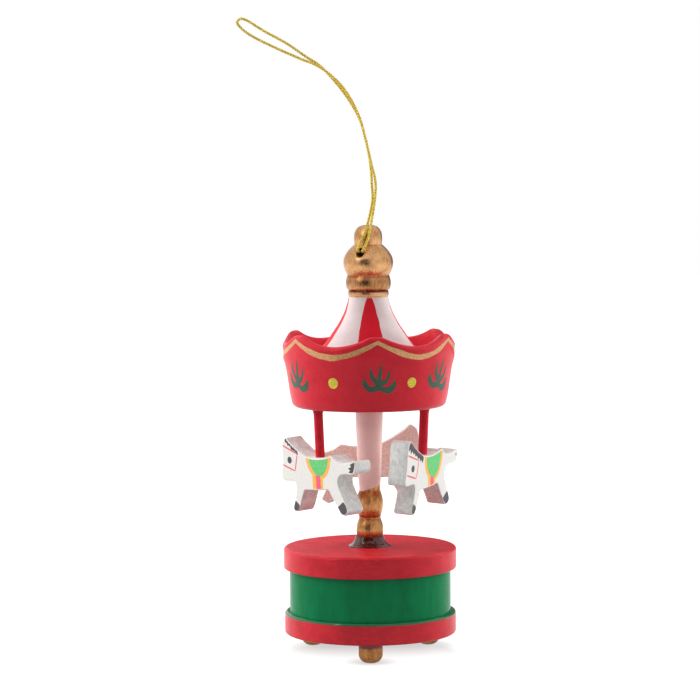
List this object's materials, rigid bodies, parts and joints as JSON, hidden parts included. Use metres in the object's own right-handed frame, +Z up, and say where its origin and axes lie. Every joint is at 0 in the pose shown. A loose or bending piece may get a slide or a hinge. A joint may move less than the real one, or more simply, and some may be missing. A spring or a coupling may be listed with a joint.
{
  "type": "carousel music box",
  "caption": "Hanging carousel music box in painted wood: the lid, crown and horses turn over a drum that holds a twist-to-wind movement.",
  "frame": {"origin": "on the axis of the turned base, level with the underside of the feet", "axes": "+Z up along the axis that the carousel turns on; -Y to the front, where one foot stands and the cord leaves the finial; +X to the right of a viewer at the front"},
  "size_m": [0.0756, 0.0612, 0.2196],
  "materials": {
    "red_lacquer_wood": "red semi-gloss lacquer",
    "green_lacquer_wood": "green gloss lacquer",
    "red_dowel": "red semi-gloss lacquer",
    "gold_paint_wood": "antique gold paint over red undercoat",
    "white_paint_wood": "satin white paint",
    "horse_paint": "matt white paint, printed details",
    "clear_glue": "clear glossy adhesive",
    "gold_cord": "twisted metallic thread",
    "brass": "polished",
    "nickel_steel": "nickel plated",
    "spring_steel": "tempered, ground",
    "cast_anvil": "as cast",
    "thin_aluminium": "stamped sheet"
  },
  "bodies": {
    "base": {"base_plate": "red_lacquer_wood", "drum_wall": "green_lacquer_wood", "foot_front": "gold_paint_wood", "foot_right": "gold_paint_wood", "foot_left": "gold_paint_wood", "movement_screws": "nickel_steel", "bedplate": "nickel_steel", "bracket_rivets": "brass", "spring_housing": "brass", "mainspring": "spring_steel", "lower_arbor_bush": "brass", "upper_arbor_bush": "brass", "comb_anvil": "cast_anvil", "comb": "spring_steel", "comb_screws": "nickel_steel", "cylinder_inner_bracket": "brass", "cylinder_outer_bracket": "brass", "governor_inner_bracket": "brass", "governor_outer_bracket": "brass"},
    "carousel": {"turntable": "red_lacquer_wood", "drive_hub": "nickel_steel", "hub_screws": "nickel_steel", "winding_arbor": "nickel_steel", "great_wheel": "brass", "ratchet_wheel": "nickel_steel", "click": "nickel_steel", "click_screw": "nickel_steel", "post": "white_paint_wood", "glue_fillet": "clear_glue", "canopy": "red_lacquer_wood", "tent_roof": "white_paint_wood", "finial": "gold_paint_wood", "pole_left": "red_dowel", "pole_right": "red_dowel", "pole_rear": "red_dowel", "horse_left": "horse_paint", "horse_right": "horse_paint", "horse_rear": "horse_paint", "hanging_cord": "gold_cord", "cord_knot": "gold_cord"},
    "cylinder": {"pinned_cylinder": "brass", "cylinder_arbor": "nickel_steel", "cylinder_pinion": "brass"},
    "governor": {"governor_arbor": "nickel_steel", "governor_pinion": "brass", "governor_wheel": "brass"},
    "idler": {"idler_arbor": "nickel_steel", "idler_pinion": "nickel_steel", "idler_wheel": "brass"},
    "fan": {"fan_arbor": "nickel_steel", "fan_pinion": "nickel_steel", "air_brake_fan": "thin_aluminium"}
  },
  "joints": [
    {"name": "carousel_spin", "type": "hinge", "parent": "base", "child": "carousel", "pos_m": [0, 0, 0], "axis": [0, 0, 1], "continuous": true},
    {"name": "cylinder_spin", "type": "hinge", "parent": "base", "child": "cylinder", "pos_m": [0.015, 0, 0.0233], "axis": [1, 0, 0], "continuous": true},
    {"name": "governor_spin", "type": "hinge", "parent": "base", "child": "governor", "pos_m": [-0.0107, 0, 0.0233], "axis": [1, 0, 0], "continuous": true},
    {"name": "idler_spin", "type": "hinge", "parent": "base", "child": "idler", "pos_m": [-0.0115, 0.0065, 0.02131], "axis": [1, 0, 0], "continuous": true},
    {"name": "fan_spin", "type": "hinge", "parent": "base", "child": "fan", "pos_m": [-0.0115, 0.00093, 0.01741], "axis": [1, 0, 0], "continuous": true}
  ],
  "couplings": [
    {"joint": "cylinder_spin", "follows": "carousel_spin", "ratio": 3},
    {"joint": "governor_spin", "follows": "carousel_spin", "ratio": -3},
    {"joint": "idler_spin", "follows": "carousel_spin", "ratio": 7.2},
    {"joint": "fan_spin", "follows": "carousel_spin", "ratio": -17.28}
  ]
}
